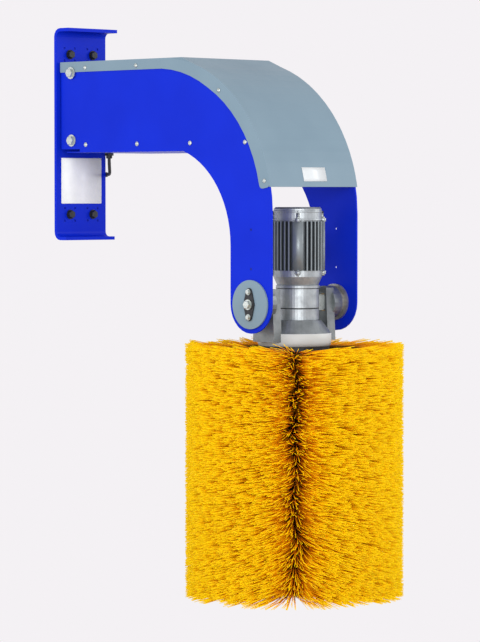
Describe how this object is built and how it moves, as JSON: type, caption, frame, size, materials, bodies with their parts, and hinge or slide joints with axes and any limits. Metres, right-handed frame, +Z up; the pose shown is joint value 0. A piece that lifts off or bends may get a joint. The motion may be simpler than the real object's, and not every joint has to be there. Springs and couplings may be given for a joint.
{
  "type": "rotating cow brush",
  "caption": "Wall-hung rotating cow brush: bent arm with a hood, geared motor in a swinging cradle and an upright round bristle brush below it.",
  "frame": {"origin": "centre of the wall bracket's back face, which lies against the wall", "axes": "+X away from the wall, +Y to the right of someone facing the wall, +Z up"},
  "size_m": [0.9102, 0.5004, 1.3224],
  "materials": {
    "blue_paint": "gloss",
    "grey_paint": "satin",
    "cast_aluminium": "cast",
    "dark_steel": "satin",
    "zinc": "zinc plated",
    "black_rubber": "matte",
    "bronze": "satin",
    "lamination": "matte",
    "bristle": "fibrous"
  },
  "bodies": {
    "arm": {"arm_bolt_left_lower": "zinc", "arm_bolt_left_upper": "zinc", "arm_bolt_right_lower": "zinc", "arm_bolt_right_upper": "zinc", "arm_channel": "blue_paint", "bend_spacer": "blue_paint", "cable_gland": "black_rubber", "channel_bolt_1": "zinc", "channel_bolt_2": "zinc", "hood": "grey_paint", "lock_bolt_lower_left": "zinc", "lock_bolt_lower_right": "zinc", "lock_bolt_upper_left": "zinc", "lock_bolt_upper_right": "zinc", "lock_plate_left": "dark_steel", "lock_plate_right": "dark_steel", "pivot_bearing_left": "dark_steel", "pivot_bearing_right": "dark_steel", "pivot_bolt_left": "zinc", "pivot_bolt_right": "zinc", "pivot_disc_left": "grey_paint", "pivot_disc_right": "grey_paint", "pivot_nut_left": "zinc", "pivot_nut_right": "zinc", "pivot_pin_left": "zinc", "pivot_pin_right": "zinc", "side_plate_left": "blue_paint", "side_plate_right": "blue_paint", "supply_cable": "black_rubber", "underside_pan": "blue_paint", "wall_bolt_1": "dark_steel", "wall_bolt_2": "dark_steel", "wall_bolt_3": "dark_steel", "wall_bolt_4": "dark_steel", "wall_bracket": "blue_paint", "wall_grommet": "black_rubber"},
    "swing": {"gear_case_lower": "cast_aluminium", "gear_case_upper": "cast_aluminium", "motor_bearing_lower": "zinc", "motor_bearing_upper": "zinc", "motor_cap": "cast_aluminium", "motor_end_shield": "cast_aluminium", "motor_housing": "cast_aluminium", "motor_stator": "lamination", "pivot_bush_left": "bronze", "pivot_bush_right": "bronze", "shaft_bearing": "zinc", "swing_yoke": "cast_aluminium", "terminal_box": "cast_aluminium"},
    "brush": {"brush_end_plate": "dark_steel", "brush_flange": "dark_steel", "brush_half_left": "bristle", "brush_half_right": "bristle", "brush_tube": "dark_steel", "output_shaft": "zinc", "tie_rod": "zinc", "tie_rod_nut": "zinc"},
    "rotor": {"motor_rotor": "lamination"}
  },
  "joints": [
    {"name": "brush_swing", "type": "hinge", "parent": "arm", "child": "swing", "pos_m": [0.66, 0.0713, -0.392], "axis": [0, 1, 0], "range_deg": [-60, 45]},
    {"name": "brush_spin", "type": "hinge", "parent": "swing", "child": "brush", "pos_m": [0.66, 0.0713, -0.392], "axis": [0, 0, 1], "continuous": true},
    {"name": "rotor_spin", "type": "hinge", "parent": "swing", "child": "rotor", "pos_m": [0.66, 0.0818, -0.392], "axis": [0, 0, 1], "continuous": true}
  ],
  "couplings": [
    {"joint": "rotor_spin", "follows": "brush_spin", "ratio": 56}
  ]
}
